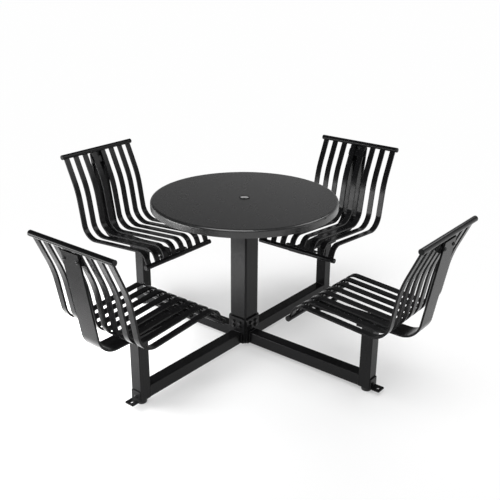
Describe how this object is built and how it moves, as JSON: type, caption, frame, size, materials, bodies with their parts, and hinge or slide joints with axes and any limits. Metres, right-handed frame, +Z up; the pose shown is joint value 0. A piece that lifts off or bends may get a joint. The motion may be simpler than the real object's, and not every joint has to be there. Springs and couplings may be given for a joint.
{
  "type": "table with attached swivel seats",
  "caption": "Round steel outdoor table with a centre umbrella hole, on a bolted cross base whose arms carry strap seats that swivel on posts and feet that level it.",
  "frame": {"origin": "on the floor, under the centre of the column", "axes": "+Z up through the umbrella hole; the four arms lie along +X, +Y, -X and -Y, seat 1 on +X and counting anticlockwise from above"},
  "size_m": [2.153, 2.153, 0.8666],
  "materials": {
    "black_coat": "semi-gloss black powder coat",
    "top_coat": "matte charcoal powder coat",
    "liner": "zinc plated",
    "nylon": "plain nylon",
    "foot": "black zinc plated steel"
  },
  "bodies": {
    "base": {"table_top": "top_coat", "umbrella_liner": "liner", "top_plate": "black_coat", "top_ribs": "black_coat", "column": "black_coat", "column_cap": "black_coat", "hub_plates": "black_coat", "hub_bolts": "black_coat", "arm_1": "black_coat", "arm_2": "black_coat", "arm_3": "black_coat", "arm_4": "black_coat", "post_1": "black_coat", "post_2": "black_coat", "post_3": "black_coat", "post_4": "black_coat", "post_end_plates": "black_coat", "swivel_bases": "black_coat", "swivel_bushes": "nylon", "thrust_washers": "nylon", "anchor_clips": "black_coat", "anchor_bolts": "black_coat"},
    "seat_1": {"seat_1_straps": "black_coat", "seat_1_top_rail": "black_coat", "seat_1_front_rail": "black_coat", "seat_1_spine": "black_coat", "seat_1_cross_bar": "black_coat", "seat_1_back_block": "black_coat", "seat_1_swivel": "black_coat", "seat_1_bolts": "black_coat"},
    "seat_2": {"seat_2_straps": "black_coat", "seat_2_top_rail": "black_coat", "seat_2_front_rail": "black_coat", "seat_2_spine": "black_coat", "seat_2_cross_bar": "black_coat", "seat_2_back_block": "black_coat", "seat_2_swivel": "black_coat", "seat_2_bolts": "black_coat"},
    "seat_3": {"seat_3_straps": "black_coat", "seat_3_top_rail": "black_coat", "seat_3_front_rail": "black_coat", "seat_3_spine": "black_coat", "seat_3_cross_bar": "black_coat", "seat_3_back_block": "black_coat", "seat_3_swivel": "black_coat", "seat_3_bolts": "black_coat"},
    "seat_4": {"seat_4_straps": "black_coat", "seat_4_top_rail": "black_coat", "seat_4_front_rail": "black_coat", "seat_4_spine": "black_coat", "seat_4_cross_bar": "black_coat", "seat_4_back_block": "black_coat", "seat_4_swivel": "black_coat", "seat_4_bolts": "black_coat"},
    "foot_1": {"foot_1": "foot"},
    "foot_2": {"foot_2": "foot"},
    "foot_3": {"foot_3": "foot"},
    "foot_4": {"foot_4": "foot"}
  },
  "joints": [
    {"name": "seat_1_swivel", "type": "hinge", "parent": "base", "child": "seat_1", "pos_m": [0.737, 0, 0.352], "axis": [0, 0, 1], "range_deg": [-90, 90]},
    {"name": "seat_2_swivel", "type": "hinge", "parent": "base", "child": "seat_2", "pos_m": [0, 0.737, 0.352], "axis": [0, 0, 1], "range_deg": [-90, 90]},
    {"name": "seat_3_swivel", "type": "hinge", "parent": "base", "child": "seat_3", "pos_m": [-0.737, 0, 0.352], "axis": [0, 0, 1], "range_deg": [-90, 90]},
    {"name": "seat_4_swivel", "type": "hinge", "parent": "base", "child": "seat_4", "pos_m": [0, -0.737, 0.352], "axis": [0, 0, 1], "range_deg": [-90, 90]},
    {"name": "foot_1_level", "type": "slide", "parent": "base", "child": "foot_1", "axis": [0, 0, -1], "range_m": [0, 0.015]},
    {"name": "foot_2_level", "type": "slide", "parent": "base", "child": "foot_2", "axis": [0, 0, -1], "range_m": [0, 0.015]},
    {"name": "foot_3_level", "type": "slide", "parent": "base", "child": "foot_3", "axis": [0, 0, -1], "range_m": [0, 0.015]},
    {"name": "foot_4_level", "type": "slide", "parent": "base", "child": "foot_4", "axis": [0, 0, -1], "range_m": [0, 0.015]}
  ]
}
